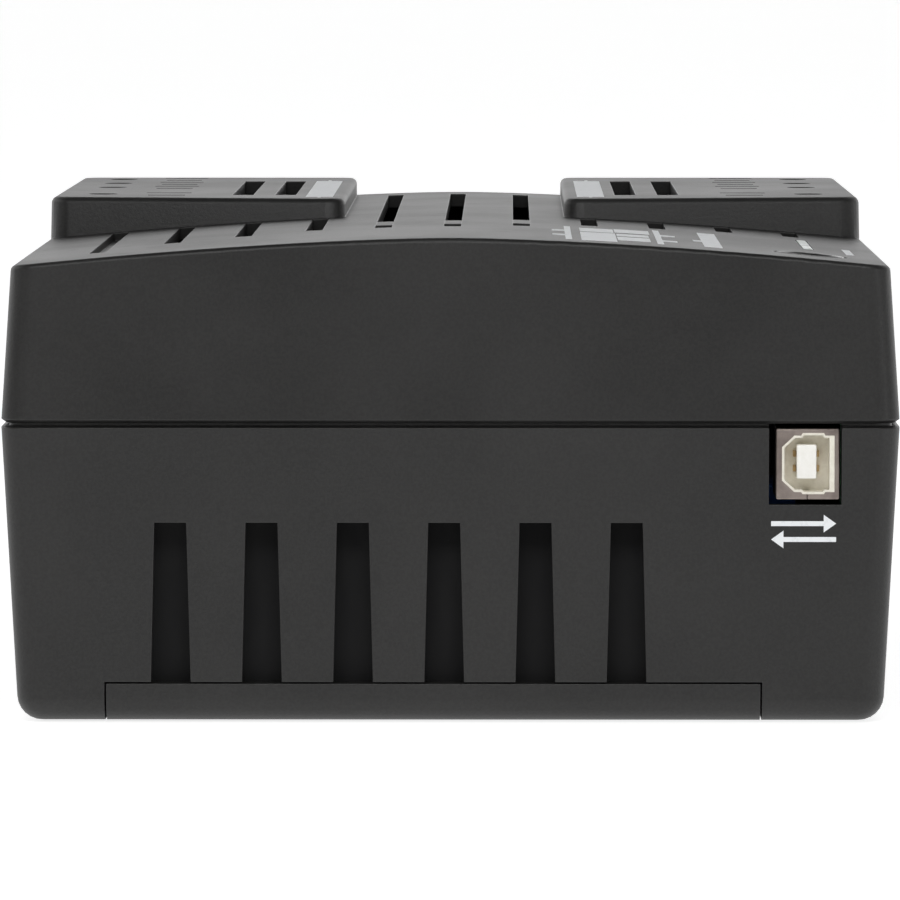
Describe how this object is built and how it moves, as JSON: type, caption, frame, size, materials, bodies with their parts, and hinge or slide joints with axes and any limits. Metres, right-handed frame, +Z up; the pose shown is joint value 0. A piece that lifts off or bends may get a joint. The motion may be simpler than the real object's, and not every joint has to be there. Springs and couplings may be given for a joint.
{
  "type": "uninterruptible power supply",
  "caption": "Compact desktop battery backup for mains power, with outlets on two raised banks, deck vents, a power button and a square data port.",
  "frame": {"origin": "centre of the footprint, on the surface that the feet stand on", "axes": "+X to the right as seen from the data-port end, +Y towards the mains end, +Z up"},
  "size_m": [0.1524, 0.239, 0.0853],
  "materials": {
    "case_plastic": "black moulded plastic with a fine spark-eroded grain",
    "tray_plastic": "black heat-resistant plastic",
    "button_plastic": "smooth black plastic",
    "rubber": "black rubber",
    "steel": "zinc-plated steel",
    "port_shell_metal": "nickel-plated folded sheet, dull",
    "port_insulator_plastic": "ivory plastic",
    "contact_brass": "stamped brass strip",
    "circuit_board": "green solder mask on glass fibre board",
    "light_pipe_plastic": "clear plastic with a pale green cast",
    "battery_case": "dark grey moulded battery case",
    "terminal_tin": "tin-plated tab",
    "red_insulation": "red wire insulation",
    "black_insulation": "black wire insulation",
    "core_steel": "varnished steel laminations",
    "winding_tape": "amber winding tape",
    "heat_sink_aluminium": "extruded aluminium",
    "component_black": "black moulded component case",
    "component_blue": "blue moulded component case",
    "capacitor_sleeve": "dark shrink sleeve"
  },
  "bodies": {
    "casing": {"base_case": "case_plastic", "top_cover": "case_plastic", "outlet_tray_left": "tray_plastic", "outlet_tray_right": "tray_plastic", "power_switch": "button_plastic", "breaker_body": "button_plastic", "foot_1": "rubber", "foot_2": "rubber", "foot_3": "rubber", "foot_4": "rubber", "cord_gland": "rubber", "case_screw_1": "steel", "case_screw_2": "steel", "case_screw_3": "steel", "case_screw_4": "steel", "transformer_bracket": "steel", "port_shell": "port_shell_metal", "port_insulator": "port_insulator_plastic", "port_contact_1": "contact_brass", "port_contact_2": "contact_brass", "port_contact_3": "contact_brass", "port_contact_4": "contact_brass", "line_contacts_left": "contact_brass", "line_contacts_right": "contact_brass", "neutral_contacts_left": "contact_brass", "neutral_contacts_right": "contact_brass", "ground_contacts_left": "contact_brass", "ground_contacts_right": "contact_brass", "port_board": "circuit_board", "control_board": "circuit_board", "main_board": "circuit_board", "status_light_pipe": "light_pipe_plastic", "status_led": "light_pipe_plastic", "battery": "battery_case", "battery_terminal_positive": "terminal_tin", "battery_terminal_negative": "terminal_tin", "battery_lead_positive": "red_insulation", "battery_lead_negative": "black_insulation", "transformer_core": "core_steel", "transformer_winding": "winding_tape", "heat_sink": "heat_sink_aluminium", "power_transistor_1": "component_black", "power_transistor_2": "component_black", "buzzer": "component_black", "relay_1": "component_blue", "relay_2": "component_blue", "line_capacitor": "component_blue", "filter_capacitor_1": "capacitor_sleeve", "filter_capacitor_2": "capacitor_sleeve", "surge_absorber": "capacitor_sleeve"},
    "door": {"battery_door": "case_plastic"},
    "button": {"power_button": "button_plastic"},
    "breaker": {"breaker_button": "button_plastic"}
  },
  "joints": [
    {"name": "battery_door_slide", "type": "slide", "parent": "casing", "child": "door", "axis": [0, -1, 0], "range_m": [0, 0.012]},
    {"name": "power_button_press", "type": "slide", "parent": "casing", "child": "button", "axis": [0, 0, -1], "range_m": [0, 0.0015], "stiffness_N_per_m": 300, "springref_m": -0.002},
    {"name": "breaker_reset", "type": "slide", "parent": "casing", "child": "breaker", "axis": [0, 1, 0], "range_m": [0, 0.003]}
  ]
}
